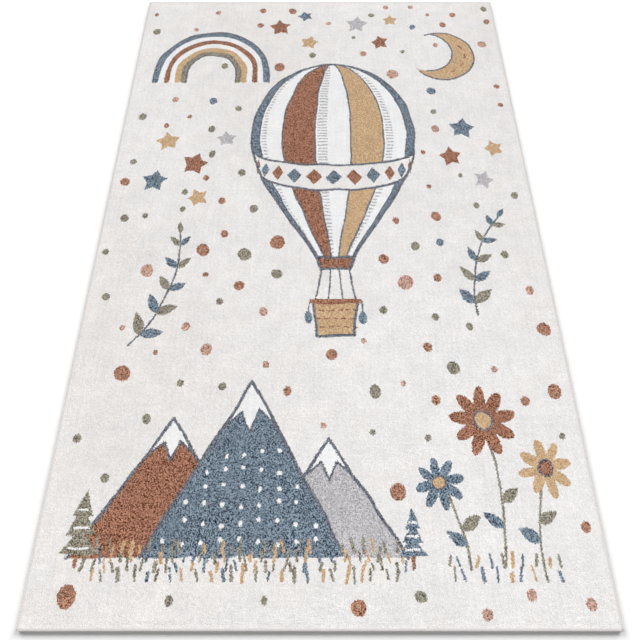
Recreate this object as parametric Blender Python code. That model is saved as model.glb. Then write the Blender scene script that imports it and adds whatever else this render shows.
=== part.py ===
"""A kids rug: one flat woven carpet with a short pile, and thick yarn overcast round its four cut edges.

Metres, +Z up. The rug lies on the plane z = 0, centred on the Z axis, with its length along Y.
The front edge faces -Y.
"""

import math

import bmesh
import bpy
from mathutils import Matrix, Vector

# Overall size
RUG_WIDTH = 1.200  # along X, over the edging
RUG_LENGTH = 1.800  # along Y, over the edging
PILE_TOP = 0.010  # top of the pile above the floor

# Overcast edging
EDGE_WIDTH = 0.0070
EDGE_HEIGHT = 0.0088
EDGE_TOP_RADIUS = 0.0048
EDGE_FOOT_RADIUS = 0.0030
EDGE_ARC_STEPS = 5  # flats in each of the two arcs
EDGE_END_RADIUS = 0.0012
EDGE_END_STEPS = 2

# The backing's cut edge, a tongue that the edging wraps
TONGUE_THICKNESS = 0.0024
TONGUE_MIDDLE = 0.0040  # height of its middle plane above the floor
TONGUE_REACH = 0.0045  # how far it goes into the edging

# Pile block
CORNER_RADIUS = 0.0050
PILE_SHOULDER = 0.0024  # rounding of the pile's upper rim
SHOULDER_STEPS = 3

GAP = 0.0003  # between touching pieces
WELD = 0.000001  # points closer than this are one point
SHARP_ANGLE = math.radians(45)

PILE_CREAM = (0.86, 0.84, 0.80, 1.0)
EDGING_BEIGE = (0.80, 0.73, 0.67, 1.0)

PARTS = "Kids rug"
GUIDES = "Guides"


def clear_scene():
    for obj in list(bpy.data.objects):
        bpy.data.objects.remove(obj)


def new_collection(name):
    collection = bpy.data.collections.new(name)
    bpy.context.scene.collection.children.link(collection)
    return collection


def yarn_material(name, colour):
    material = bpy.data.materials.new(name)
    material.use_nodes = True
    shader = material.node_tree.nodes["Principled BSDF"]
    shader.inputs["Base Color"].default_value = colour
    shader.inputs["Roughness"].default_value = 0.95
    shader.inputs["Metallic"].default_value = 0.0
    return material


def mesh_object(name, bm, collection, material=None):
    """An object made from a bmesh, which is freed."""
    mesh = bpy.data.meshes.new(name)
    bm.to_mesh(mesh)
    bm.free()
    if material:
        mesh.materials.append(material)
    obj = bpy.data.objects.new(name, mesh)
    collection.objects.link(obj)
    return obj


def block(width, length, bottom, top):
    """A box centred on the Z axis, as a bmesh."""
    bm = bmesh.new()
    size = Matrix.Diagonal((width, length, top - bottom, 1.0))
    place = Matrix.Translation((0.0, 0.0, (bottom + top) / 2))
    bmesh.ops.create_cube(bm, size=1.0, matrix=place @ size)
    return bm


def round_corners(bm, radius, steps):
    """Rounds a block's four upright edges."""
    upright = [e for e in bm.edges if abs(e.verts[0].co.z - e.verts[1].co.z) > GAP]
    bmesh.ops.bevel(bm, geom=upright, offset=radius, segments=steps, profile=0.5, affect="EDGES")


def round_upper_rim(bm, height, radius, steps):
    """Rounds the rim of a block's top face, which lies at that height."""
    rim = [e for e in bm.edges if all(abs(v.co.z - height) < GAP for v in e.verts)]
    bmesh.ops.bevel(bm, geom=rim, offset=radius, segments=steps, profile=0.5, affect="EDGES")


def woven_carpet(parts, guides, material):
    """The pile block with its rounded rim, joined to the thin tongue of bare backing."""
    inset = 2 * (EDGE_WIDTH + GAP)
    bm = block(RUG_WIDTH - inset, RUG_LENGTH - inset, 0.0, PILE_TOP)
    round_corners(bm, CORNER_RADIUS, SHOULDER_STEPS)
    round_upper_rim(bm, PILE_TOP, PILE_SHOULDER, SHOULDER_STEPS)
    carpet = mesh_object("woven_carpet", bm, parts, material)

    margin = 2 * (EDGE_WIDTH - TONGUE_REACH)
    bottom = TONGUE_MIDDLE - TONGUE_THICKNESS / 2
    top = TONGUE_MIDDLE + TONGUE_THICKNESS / 2
    bm = block(RUG_WIDTH - margin, RUG_LENGTH - margin, bottom, top)
    tongue = mesh_object("backing_tongue", bm, guides)
    tongue.hide_render = True
    tongue.display_type = "WIRE"

    union = carpet.modifiers.new("tongue", "BOOLEAN")
    union.operation = "UNION"
    union.object = tongue
    return carpet


def arc(centre_u, centre_z, radius, start, end, steps):
    """Points on a circle, from the start angle to the end angle in degrees."""
    points = []
    for step in range(steps + 1):
        angle = math.radians(start + (end - start) * step / steps)
        points.append((centre_u + radius * math.cos(angle), centre_z + radius * math.sin(angle)))
    return points


def edging_section():
    """The edging cut across: u runs outwards from the pile, z up, both in metres.

    A flat foot, a round outer side, and a flat inner side with a slot for the tongue.
    """
    foot_u = EDGE_WIDTH - EDGE_FOOT_RADIUS
    top_u = EDGE_WIDTH - EDGE_TOP_RADIUS
    top_z = EDGE_HEIGHT - EDGE_TOP_RADIUS
    foot = arc(foot_u, EDGE_FOOT_RADIUS, EDGE_FOOT_RADIUS, -90, 0, EDGE_ARC_STEPS)
    upper = arc(top_u, top_z, EDGE_TOP_RADIUS, 0, 90, EDGE_ARC_STEPS)
    slot_depth = TONGUE_REACH + GAP
    slot_low = TONGUE_MIDDLE - TONGUE_THICKNESS / 2 - GAP
    slot_high = TONGUE_MIDDLE + TONGUE_THICKNESS / 2 + GAP
    slot = [(0.0, slot_high), (slot_depth, slot_high), (slot_depth, slot_low), (0.0, slot_low)]
    return [(0.0, 0.0)] + foot + upper + [(0.0, EDGE_HEIGHT)] + slot


def section_curve(name, run):
    """A flat outline of the edging's section, extruded run metres along its own Z axis."""
    curve = bpy.data.curves.new(name, "CURVE")
    curve.dimensions = "2D"
    curve.fill_mode = "BOTH"
    curve.extrude = run / 2
    points = edging_section()
    spline = curve.splines.new("POLY")
    spline.points.add(len(points) - 1)
    for point, (u, z) in zip(spline.points, points):
        point.co = (u, z, 0.0, 1.0)
    spline.use_cyclic_u = True
    return curve


def welded_mesh(outline):
    """The mesh of a curve object, with its loose caps welded on, as a bmesh."""
    evaluated = outline.evaluated_get(bpy.context.evaluated_depsgraph_get())
    mesh = bpy.data.meshes.new_from_object(evaluated)
    bm = bmesh.new()
    bm.from_mesh(mesh)
    bpy.data.meshes.remove(mesh)
    bmesh.ops.remove_doubles(bm, verts=bm.verts, dist=WELD)
    bmesh.ops.recalc_face_normals(bm, faces=bm.faces)
    return bm


def round_ends(bm, run):
    """Rounds the outer rim of a strip's two ends. The strip runs along its own Z axis."""
    rim = []
    for edge in bm.edges:
        at_end = all(abs(abs(v.co.z) - run / 2) < GAP for v in edge.verts)
        outer = min(v.co.x for v in edge.verts) > EDGE_WIDTH - EDGE_TOP_RADIUS - GAP
        square = edge.calc_face_angle() > SHARP_ANGLE
        if at_end and outer and square:
            rim.append(edge)
    bmesh.ops.bevel(
        bm, geom=rim, offset=EDGE_END_RADIUS, segments=EDGE_END_STEPS, profile=0.5, affect="EDGES"
    )


def overcast_edge(name, heading, run, reach, parts, material):
    """A straight strip of edging, run metres long, whose outer side is reach metres from the Z axis.

    heading is the angle in degrees from +X to the side that it lies on.
    """
    turn = math.radians(heading)
    side = Vector((math.cos(turn), math.sin(turn), 0.0))
    outline = bpy.data.objects.new(name + "_outline", section_curve(name, run))
    parts.objects.link(outline)
    outline.location = side * (reach - EDGE_WIDTH)
    outline.rotation_euler = (math.pi / 2, 0.0, turn)
    bpy.context.view_layer.update()

    bm = welded_mesh(outline)
    round_ends(bm, run)
    strip = mesh_object(name, bm, parts, material)
    strip.matrix_world = outline.matrix_world.copy()
    strip.data.shade_smooth()
    strip.data.set_sharp_from_angle(angle=SHARP_ANGLE)
    bpy.data.objects.remove(outline)
    return strip


def overcast_edging(parts, material):
    """Left and right strips run the whole length. Front and back strips fit between them."""
    across = RUG_WIDTH - 2 * (EDGE_WIDTH + GAP)
    overcast_edge("overcast_right", 0, RUG_LENGTH, RUG_WIDTH / 2, parts, material)
    overcast_edge("overcast_left", 180, RUG_LENGTH, RUG_WIDTH / 2, parts, material)
    overcast_edge("overcast_back", 90, across, RUG_LENGTH / 2, parts, material)
    overcast_edge("overcast_front", 270, across, RUG_LENGTH / 2, parts, material)


def main():
    clear_scene()
    parts = new_collection(PARTS)
    guides = new_collection(GUIDES)
    woven_carpet(parts, guides, yarn_material("pile yarn", PILE_CREAM))
    overcast_edging(parts, yarn_material("edging yarn", EDGING_BEIGE))


main()
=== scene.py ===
"""A kids rug laid flat.

It has a short frieze pile with a nursery pattern, on a woven ground, and its edge is overcast with yarn.
Metres, +Z up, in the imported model's frame: the rug lies on z = 0, its length along Y and its front at -Y.
"""

import math
from collections import namedtuple

import bmesh
import bpy
import numpy as np
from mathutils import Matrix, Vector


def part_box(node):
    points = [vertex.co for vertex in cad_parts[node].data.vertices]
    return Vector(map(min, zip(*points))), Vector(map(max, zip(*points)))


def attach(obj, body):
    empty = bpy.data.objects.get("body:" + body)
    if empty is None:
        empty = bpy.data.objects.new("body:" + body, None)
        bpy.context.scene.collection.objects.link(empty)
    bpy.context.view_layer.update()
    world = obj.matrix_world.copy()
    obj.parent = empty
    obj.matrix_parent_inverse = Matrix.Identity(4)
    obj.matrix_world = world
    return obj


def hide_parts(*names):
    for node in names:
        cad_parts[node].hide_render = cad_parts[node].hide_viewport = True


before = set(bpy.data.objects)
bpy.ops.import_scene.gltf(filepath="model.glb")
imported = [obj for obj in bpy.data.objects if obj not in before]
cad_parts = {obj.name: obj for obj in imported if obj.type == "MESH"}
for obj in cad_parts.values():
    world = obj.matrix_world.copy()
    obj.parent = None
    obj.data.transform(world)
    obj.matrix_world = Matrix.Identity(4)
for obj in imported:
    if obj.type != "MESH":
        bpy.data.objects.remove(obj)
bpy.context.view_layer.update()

MM = 0.001

# Sizes from the frame
EDGING_LOW, EDGING_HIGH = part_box("overcast_right")
CARPET_LOW, CARPET_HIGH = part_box("woven_carpet")
HALF_WIDTH = EDGING_HIGH.x
HALF_LENGTH = EDGING_HIGH.y
EDGING_WIDTH = EDGING_HIGH.x - EDGING_LOW.x
EDGING_HEIGHT = EDGING_HIGH.z
PILE_TOP = CARPET_HIGH.z
PILE_OVERLAP = 0.6 * MM  # how far the pile spills over the edging's inner rim
PILE_HALF_WIDTH = HALF_WIDTH - EDGING_WIDTH + PILE_OVERLAP
PILE_HALF_LENGTH = HALF_LENGTH - EDGING_WIDTH + PILE_OVERLAP
PILE_HALVES = np.array([PILE_HALF_WIDTH, PILE_HALF_LENGTH])

# Woven ground, the cloth that carries the pile
GROUND_TOP = 2.2 * MM
GROUND_HALF_WIDTH = CARPET_HIGH.x
GROUND_HALF_LENGTH = CARPET_HIGH.y
WEFT_PITCH = 3.0 * MM
WARP_PITCH = 2.4 * MM
WEFT_RELIEF = 0.5 * MM

# Pile
TUFT_PITCH = 4.4 * MM  # side of the triangle of ground that a tuft stands on
VALLEY_JITTER = 0.80 * MM
TIP_JITTER = 0.40 * MM
TUFT_LEAN = 0.25 * MM
LEAN_SIZE = 0.12
LEAN_SEEDS = (3, 4)
VALLEY_DEPTH = 0.85 * MM
VALLEY_SPREAD = 0.25 * MM
TIP_SPREAD = 0.45 * MM
SHOULDER_WIDTH = 80.0 * MM  # where the pile slopes down to the edging
SHOULDER_DROP = 1.05 * MM
SHOULDER_CURVE = 1.5  # 1 is a straight slope
ON_RIM = 1e-7  # points closer than this to the pile's outline lie on it
RIM_WIDTH = 4.0 * MM  # the outermost tufts, packed against the edging
RIM_PACKING = 0.45  # how much shallower their valleys are
RIM_LEAN = 0.6 * MM  # how far their tips lean outwards
PILE_COLUMNS = ("left", "right")
PILE_ROWS = ("front", "middle", "back")
FOOT_INSET = 0.3 * MM  # between the foot of the pile's sides and the edging
SKIRT_MARGIN = 8.0 * MM  # room for the pile's outer sides in the flat map
SKIRT_REACH = 0.9  # how much of that room they fill

# Overcast yarn
WRAP_PITCH = 3.0 * MM
PITCH_JITTER = 0.35 * MM
WRAP_STEPS = 3  # cuts along each turn of yarn
WRAP_RELIEF = 1.1 * MM
WRAP_UNEVEN = 0.35  # how much of its relief a thin turn lacks
CREST_ROUNDNESS = 0.6
FOOT_SHARE = 0.3  # of the relief, on the side that lies on the floor
INNER_SHARE = 0.35  # of the relief, where the yarn meets the pile
WRAP_SLANT = 0.6  # how far a turn leans along the edge from foot to top, in turns
# Where the points of the yarn's section lie, in degrees from outwards: closest on its upper outer side
SECTION_ANGLES = (-135, -90, -45, -10, 20, 45, 65, 80, 100, 120, 150, 190)
OUTER_ROUNDNESS = 5.0  # 2 is an ellipse, and more is squarer
INNER_ROUNDNESS = 8.0
CORNER_TURNS = 4  # turns of yarn in the quarter circle round each corner
CORNER_SQUARENESS = 3  # 2 is a round corner
SECTION_LENGTH = 8.0  # round a section, in turns
EDGING_MAP_ROWS = 16  # rows that a strip is folded into in its flat map
EDGING_MAP_MARGINS = (0.01, 0.04)  # at the ends and the sides of a row

TUFT_SEED = 11
YARN_SEED = 23
WRAP_SEED = 37
PATTERN_SEED = 5
STRAY_SEED = 41


# ---------------- shader maths


class Wire:
    """A value in a finish's node tree. Sums and products with it add Math nodes."""

    def __init__(self, finish, socket):
        self.finish = finish
        self.socket = socket

    def part(self, output):
        """Another output of the node that this value comes from."""
        return Wire(self.finish, self.socket.node.outputs[output])

    def __add__(self, other):
        return self.finish.math("ADD", self, other)

    def __sub__(self, other):
        return self.finish.math("SUBTRACT", self, other)

    def __mul__(self, other):
        return self.finish.math("MULTIPLY", self, other)

    __radd__ = __add__
    __rmul__ = __mul__

    def between(self, start, end):
        """From start to end as this value goes from 0 to 1."""
        return start + (end - start) * self


class Finish:
    """A procedural material with one Principled shader, whose constant sockets are given by name."""

    def __init__(self, name, constants):
        self.material = bpy.data.materials.new(name)
        self.material.use_nodes = True
        self.tree = self.material.node_tree
        self.shader = self.tree.nodes["Principled BSDF"]
        for socket, value in constants.items():
            self.shader.inputs[socket].default_value = value

    def fill(self, socket, value):
        if isinstance(value, Wire):
            self.tree.links.new(value.socket, socket)
        else:
            socket.default_value = value

    def add(self, kind, inputs=None, output=0, **settings):
        """Adds a node, with values or wires in its sockets and settings, and gives one output's wire."""
        node = self.tree.nodes.new("ShaderNode" + kind)
        for name, value in settings.items():
            setattr(node, name, value)
        for name, value in (inputs or {}).items():
            self.fill(node.inputs[name], value)
        return Wire(self, node.outputs[output])

    def shade(self, socket, value):
        """Feeds one of the shader's own sockets."""
        self.fill(self.shader.inputs[socket], value)

    def math(self, operation, *values):
        return self.add("Math", dict(enumerate(values)), operation=operation)

    def wave(self, value, length):
        """A wave from 0 to 1 that repeats as the value grows by that length."""
        return 0.5 + 0.5 * self.math("SINE", value * (2 * math.pi / length))

    def clamp(self, value):
        return self.add("Clamp", {"Value": value})

    def tint(self, colour, strength):
        """The colour times a strength."""
        return self.add("VectorMath", {0: colour, "Scale": strength}, operation="SCALE")

    def blend(self, amount, first, second):
        """From the first colour to the second as the amount goes from 0 to 1."""
        return self.add("Mix", {0: amount, 6: first, 7: second}, output=2, data_type="RGBA")

    def noise(self, place, scale, detail=2.0):
        """A smooth random pattern, mostly within 0.3 and 0.7."""
        return self.add("TexNoise", {"Vector": place, "Scale": scale, "Detail": detail}, "Fac")

    def stored(self, name, output="Fac"):
        """What the mesh holds under a name."""
        return self.add("Attribute", output=output, attribute_name=name)

    def relief(self, height, distance):
        """Bump from a height of 0 to 1, distance metres deep."""
        bump = self.add("Bump", {"Height": height, "Distance": distance, "Strength": 1.0})
        self.shade("Normal", bump)


def linear(*levels):
    """A screen colour, 0 to 255 a channel, as linear light."""
    part = np.array(levels) / 255
    return np.where(part <= 0.04045, part / 12.92, ((part + 0.055) / 1.055) ** 2.4)


# ---------------- meshes

SWELL_SPREAD = (0.6, 1.5)  # sizes of a field's waves, as shares of its swells' size


def swell(x, y, size, seed, waves=7):
    """A smooth random field, mostly from -1 to 1, whose swells are about size metres across."""
    rng = np.random.default_rng(seed)
    total = np.zeros(np.shape(x))
    for _ in range(waves):
        way, phase = rng.uniform(0, 2 * np.pi, 2)
        rate = 2 * np.pi / (size * rng.uniform(*SWELL_SPREAD))
        total += np.sin(rate * (x * np.cos(way) + y * np.sin(way)) + phase)
    return total / np.sqrt(waves)


def new_object(name, data):
    placed = bpy.data.objects.new(name, data)
    bpy.context.scene.collection.objects.link(placed)
    return placed


def fill_in(collection, field, values, kind=np.float32):
    """Gives every item of a mesh's collection its value of a field."""
    collection.foreach_set(field, np.ascontiguousarray(values, kind).ravel())


def new_piece(name, points, triangles, finish):
    """A smooth shaded mesh object on the rug's one body."""
    mesh = bpy.data.meshes.new(name)
    mesh.vertices.add(len(points))
    fill_in(mesh.vertices, "co", points)
    mesh.loops.add(3 * len(triangles))
    fill_in(mesh.loops, "vertex_index", triangles, np.int32)
    mesh.polygons.add(len(triangles))
    fill_in(mesh.polygons, "loop_start", np.arange(0, 3 * len(triangles), 3), np.int32)
    mesh.update(calc_edges=True)
    mesh.shade_smooth()
    mesh.materials.append(finish.material)
    piece = new_object(name, mesh)
    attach(piece, "root")
    return piece


def store_number(mesh, name, domain, values):
    fill_in(mesh.attributes.new(name, "FLOAT", domain).data, "value", values)


def store_colour(mesh, name, colours):
    """Keeps a colour for every face."""
    fill_in(mesh.attributes.new(name, "FLOAT_COLOR", "FACE").data, "color", colours)


def corner_points(mesh):
    """The point that each corner of each face is at."""
    points = np.zeros(len(mesh.loops), np.int32)
    mesh.loops.foreach_get("vertex_index", points)
    return points


def lay_map(mesh, name, places):
    """A UV map from a place for each corner of the mesh's faces."""
    fill_in(mesh.uv_layers.new(name=name).uv, "vector", places)


# ---------------- the pattern's shapes

Shape = namedtuple("Shape", "low high holds")

STAR_TIPS = 5
STAR_DEPTH = 0.56  # how far from a star's middle its inner corners are, as a share of its radius
LEAF_FULLNESS = 0.8  # under 1, a leaf is widest nearer its foot


def around(points, holds, margin=0.0):
    """A shape whose points all lie within margin metres of the box round the given ones."""
    spots = np.array(points)
    return Shape(spots.min(0) - margin, spots.max(0) + margin, holds)


def turned(x, y, degrees):
    """How far places are along and across a direction from +X."""
    c, s = math.cos(math.radians(degrees)), math.sin(math.radians(degrees))
    return x * c + y * s, y * c - x * s


def oval(x0, y0, half_x, half_y, turn=0.0):
    """An ellipse turned anticlockwise by that many degrees."""

    def holds(x, y):
        along, across = turned(x - x0, y - y0, turn)
        return (along / half_x) ** 2 + (across / half_y) ** 2 < 1

    return around([(x0, y0)], holds, max(half_x, half_y))


def disc(x0, y0, radius):
    return oval(x0, y0, radius, radius)


def polygon(points):
    def holds(x, y):
        inside = np.zeros(x.shape, bool)
        for (x1, y1), (x2, y2) in zip(points, points[1:] + points[:1]):
            if y1 != y2:
                crossing = x1 + (y - y1) * (x2 - x1) / (y2 - y1)
                inside ^= ((y1 > y) != (y2 > y)) & (x < crossing)
        return inside

    return around(points, holds)


def stroke(points, width):
    """A line of even width through the points."""

    def holds(x, y):
        near = np.zeros(x.shape, bool)
        for (x1, y1), (x2, y2) in zip(points, points[1:]):
            dx, dy = x2 - x1, y2 - y1
            share = np.clip(((x - x1) * dx + (y - y1) * dy) / (dx * dx + dy * dy), 0, 1)
            near |= (x - x1 - share * dx) ** 2 + (y - y1 - share * dy) ** 2 < (width / 2) ** 2
        return near

    return around(points, holds, width)


def on_circle(x0, y0, radius, degrees):
    """The place on a circle at an angle from +X."""
    angle = math.radians(degrees)
    return x0 + radius * math.cos(angle), y0 + radius * math.sin(angle)


def arc(x0, y0, radius, start=0.0, end=360.0, steps=36):
    """Points on a circle between two angles in degrees."""
    return [on_circle(x0, y0, radius, start + (end - start) * k / steps) for k in range(steps + 1)]


def leaf(x0, y0, length, width, way):
    """A pointed leaf that grows from its foot in a direction in degrees from +X."""

    def holds(x, y):
        along, across = turned(x - x0, y - y0, way)
        share = along / length
        half = width / 2 * np.sin(np.pi * np.clip(share, 0, 1) ** LEAF_FULLNESS)
        return (share > 0) & (share < 1) & (np.abs(across) < half)

    return around([(x0, y0), on_circle(x0, y0, length, way)], holds, width)


def heading(start, end):
    """The way from one place to another, in degrees from +X."""
    return math.degrees(math.atan2(end[1] - start[1], end[0] - start[0]))


def bow(start, end, rise, steps=12):
    """A curved line between two points, whose middle stands rise metres left of the straight one."""
    dx, dy = end[0] - start[0], end[1] - start[1]
    points = []
    for step in range(steps + 1):
        share = step / steps
        lift = 4 * rise * share * (1 - share) / math.hypot(dx, dy)
        points.append((start[0] + dx * share - dy * lift, start[1] + dy * share + dx * lift))
    return points


def star(x0, y0, radius, turn):
    """A plump star whose first tip is turned from +Y by that many degrees."""
    corners = []
    for k in range(2 * STAR_TIPS):
        reach = radius * STAR_DEPTH if k % 2 else radius
        corners.append(on_circle(x0, y0, reach, 90 + turn + 180 * k / STAR_TIPS))
    return polygon(corners)


# ---------------- the weaver's chart

# Each yarn is heathered: its ends mix a light and a dark strand, given as screen colours
Yarn = namedtuple("Yarn", "light dark")
YARNS = {
    "cream": Yarn((237, 234.5, 233), (219, 216.5, 215)),
    "white": Yarn((239, 239, 239), (228, 228, 229)),
    "slate": Yarn((152, 169, 184), (16, 32, 48)),
    "rust": Yarn((195, 144, 119), (78, 33, 14)),
    "russet": Yarn((210, 160, 135), (82, 48, 32)),
    "mustard": Yarn((220, 191, 156), (166, 132, 94)),
    "silver": Yarn((212, 210, 213), (147, 145, 149)),
    "sage": Yarn((180, 174, 158), (78, 73, 60)),
    "clay": Yarn((230, 192, 175), (112, 74, 61)),
    "charcoal": Yarn((138, 142, 152), (50, 54, 64)),
}
YARN_NAMES = list(YARNS)
STRANDS = ("light", "dark")
OUTLINE = 7.0 * MM
TWIG_LINE = 5.5 * MM
LINE = 5.0 * MM
THIN_LINE = 4.5 * MM
FINE_LINE = 4.0 * MM
STRAY = 1.0 * MM  # how far a tuft may lean over a shape's edge
WANDER = 1.6 * MM  # how far the chart's lines wander
WANDER_SIZE = 0.09
WANDER_SEEDS = (1, 2)


class Chart:
    """The weaver's chart: the yarn of each side of every tuft, painted shape by shape."""

    def __init__(self, x, y):
        stray = np.random.default_rng(STRAY_SEED).uniform(-STRAY, STRAY, (2, len(x)))
        wander = [WANDER * swell(x, y, WANDER_SIZE, seed) for seed in WANDER_SEEDS]
        self.places = np.stack([x, y]) + wander + stray
        self.yarn = np.zeros(len(x), np.int32)
        self.busy = np.zeros(len(x), bool)

    def within(self, shape):
        """The numbers of the tufts' sides in a shape."""
        inside = (self.places > shape.low[:, None]) & (self.places < shape.high[:, None])
        near = np.flatnonzero(inside.all(0))
        return near[shape.holds(*self.places[:, near])]

    def paint(self, shape, yarn):
        sides = self.within(shape)
        self.yarn[sides] = YARN_NAMES.index(yarn)
        self.busy[sides] = True

    def draw(self, points, width=OUTLINE, yarn="charcoal"):
        self.paint(stroke(points, width), yarn)

    def free(self, x0, y0, radius):
        """True if nothing is drawn within a radius of a place."""
        return not self.busy[self.within(disc(x0, y0, radius))].any()


# Hot-air balloon
BALLOON_X = 0.040
BALLOON_TOP = 0.600
BALLOON_WIDEST = 0.320
BALLOON_NECK = -0.090
BALLOON_HALF = 0.245
NECK_HALF = 0.050
LOWER_TAPER = 1.12
BALLOON_GORES = ("slate", "white", "rust", "white", "mustard", "white", "slate")
HATCHED_GORES = (1, 3, 5)
HATCH_WIDTH = 0.34  # of a gore, beside the seam on its left
HATCH_INSET = 0.03
HATCH_PITCH = 0.011
HATCH_SHARE = 0.42  # how much of its pitch a line fills
BAND_FOOT = 0.165
BAND_HEIGHT = 0.085
BAND_SAG = 0.045
BAND_STEPS = 30
DIAMONDS = 11
DIAMOND_LEAST = 0.003  # half a diamond's width at the envelope's sides
DIAMOND_MORE = 0.021  # what is added in the middle
DIAMOND_HALF_HEIGHT = 0.026
COLLAR_HEIGHT = 0.034
COLLAR_TAPER = 0.012
BASKET_TOP = -0.215
BASKET_FOOT = -0.305
BASKET_HALF = 0.056
BASKET_TAPER = 0.82
# The ropes in pairs: how far from the middle they start and end, and their width
ROPES = ((0.036, BASKET_HALF * 0.92, LINE), (0.012, 0.018, FINE_LINE))
WICKER_ROWS = 3
WICKER_STROKES = 5
WICKER_PITCH = 0.021
WICKER_STROKE = 0.010
WICKER_START = 0.86  # of the basket's half width
WICKER_SHIFT = 0.010  # of every other row
RIM_HANG = 0.006  # how far the basket's rim stands out
RIM_LINE = 13.0 * MM
TASSEL_PLACE = 0.010  # out from the basket's side
TASSEL_LEAN = 0.004
CORD_LENGTH = 0.026
WEIGHT_DROP = 0.042
WEIGHT_HALVES = (0.010, 0.016)


def balloon_half_width(y):
    """Half the envelope's width at a height, from the neck to the top."""
    upper = np.clip((y - BALLOON_WIDEST) / (BALLOON_TOP - BALLOON_WIDEST), 0, 1)
    lower = np.clip((y - BALLOON_NECK) / (BALLOON_WIDEST - BALLOON_NECK), 0, 1)
    taper = NECK_HALF + (BALLOON_HALF - NECK_HALF) * np.sin(np.pi / 2 * lower) ** LOWER_TAPER
    return np.where(y > BALLOON_WIDEST, BALLOON_HALF * np.sqrt(1 - upper**2), taper)


def in_balloon(test):
    """A shape over the envelope, where test(across, y) holds; across goes from -1 to 1 at each height."""

    def holds(x, y):
        across = (x - BALLOON_X) / np.maximum(balloon_half_width(y), MM)
        return (np.abs(across) < 1) & (y > BALLOON_NECK) & (y < BALLOON_TOP) & test(across, y)

    corners = [(BALLOON_X - BALLOON_HALF, BALLOON_NECK), (BALLOON_X + BALLOON_HALF, BALLOON_TOP)]
    return around(corners, holds)


def on_balloon(across, y):
    """A place on the envelope at a height, across being a share of its half width there."""
    return BALLOON_X + across * float(balloon_half_width(y)), y


def seam(number, count):
    """Where one of so many even gores starts, seen from the front, as a share of the half width."""
    return math.sin(math.pi * (number / count - 0.5))


def seam_line(across, steps=40):
    """A seam from the neck to the top at one share of the half width, with more points near the top."""
    shares = [1 - (1 - k / steps) ** 2 for k in range(steps + 1)]
    return [on_balloon(across, BALLOON_NECK + (BALLOON_TOP - BALLOON_NECK) * share) for share in shares]


def gore(low, high, hatched=False):
    def holds(across, y):
        inside = (across >= low) & (across < high)
        return inside & ((y / HATCH_PITCH) % 1 < HATCH_SHARE) if hatched else inside

    return in_balloon(holds)


def band_height(across, foot):
    return foot - BAND_SAG * np.sqrt(np.clip(1 - across**2, 0, 1))


def band_line(foot):
    shares = [-1 + 2 * k / BAND_STEPS for k in range(BAND_STEPS + 1)]
    return [on_balloon(across, float(band_height(across, foot))) for across in shares]


def balloon_envelope(chart):
    count = len(BALLOON_GORES)
    for k, yarn in enumerate(BALLOON_GORES):
        chart.paint(gore(seam(k, count), seam(k + 1, count)), yarn)
    for k in range(1, count):
        chart.draw(seam_line(seam(k, count)), THIN_LINE)
    for k in HATCHED_GORES:
        low = seam(k, count) + HATCH_INSET
        chart.paint(gore(low, seam(k + HATCH_WIDTH, count), hatched=True), "silver")


def balloon_band(chart):
    def band(across, y):
        return (y > band_height(across, BAND_FOOT)) & (y < band_height(across, BAND_FOOT + BAND_HEIGHT))

    chart.paint(in_balloon(band), "cream")
    for k in range(DIAMONDS):
        across = seam(k + 0.5, DIAMONDS)
        x, y = on_balloon(across, float(band_height(across, BAND_FOOT + BAND_HEIGHT / 2)))
        wide = DIAMOND_MORE * math.sqrt(1 - across**2) + DIAMOND_LEAST
        high = DIAMOND_HALF_HEIGHT
        diamond = [(x - wide, y), (x, y - high), (x + wide, y), (x, y + high)]
        chart.paint(polygon(diamond), "slate" if k % 2 else "rust")
    for foot in (BAND_FOOT, BAND_FOOT + BAND_HEIGHT):
        chart.draw(band_line(foot))


def tub(top, foot, half_top, half_foot):
    """The corners of a symmetric four sided shape below the balloon, open at its top."""
    x = BALLOON_X
    return [(x - half_top, top), (x - half_foot, foot), (x + half_foot, foot), (x + half_top, top)]


def balloon_outline(chart):
    for side in (1, -1):
        chart.draw(seam_line(side, steps=60))
    collar = tub(BALLOON_NECK, BALLOON_NECK - COLLAR_HEIGHT, NECK_HALF, NECK_HALF - COLLAR_TAPER)
    chart.paint(polygon(collar), "rust")
    chart.draw(collar + collar[:1])


def balloon_ropes(chart):
    for side in (-1, 1):
        for start, end, width in ROPES:
            top = (BALLOON_X + side * start, BALLOON_NECK - COLLAR_HEIGHT)
            chart.draw([top, (BALLOON_X + side * end, BASKET_TOP)], width)


def wicker(chart):
    """Staggered short strokes on the basket."""
    for row in range(1, WICKER_ROWS + 1):
        y = BASKET_TOP + (BASKET_FOOT - BASKET_TOP) * row / (WICKER_ROWS + 1)
        first = BALLOON_X - BASKET_HALF * WICKER_START + (WICKER_SHIFT if row % 2 else 0.0)
        for k in range(WICKER_STROKES):
            x = first + WICKER_PITCH * k
            chart.draw([(x, y), (x + WICKER_STROKE, y)], FINE_LINE, "rust")


def tassel(chart, side):
    """A cord with a weight that hangs from one end of the basket's rim."""
    x = BALLOON_X + side * (BASKET_HALF + TASSEL_PLACE)
    foot = x + side * TASSEL_LEAN
    chart.draw([(x, BASKET_TOP), (foot, BASKET_TOP - CORD_LENGTH)], FINE_LINE)
    chart.paint(oval(foot, BASKET_TOP - WEIGHT_DROP, *WEIGHT_HALVES), "slate")


def balloon_basket(chart):
    balloon_ropes(chart)
    body = tub(BASKET_TOP, BASKET_FOOT, BASKET_HALF, BASKET_HALF * BASKET_TAPER)
    chart.paint(polygon(body), "mustard")
    wicker(chart)
    chart.draw(body + body[:1])
    reach = BASKET_HALF + RIM_HANG
    chart.draw([(BALLOON_X - reach, BASKET_TOP), (BALLOON_X + reach, BASKET_TOP)], RIM_LINE, "rust")
    for side in (-1, 1):
        tassel(chart, side)


def hot_air_balloon(chart):
    balloon_envelope(chart)
    balloon_band(chart)
    balloon_outline(chart)
    balloon_basket(chart)


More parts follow.
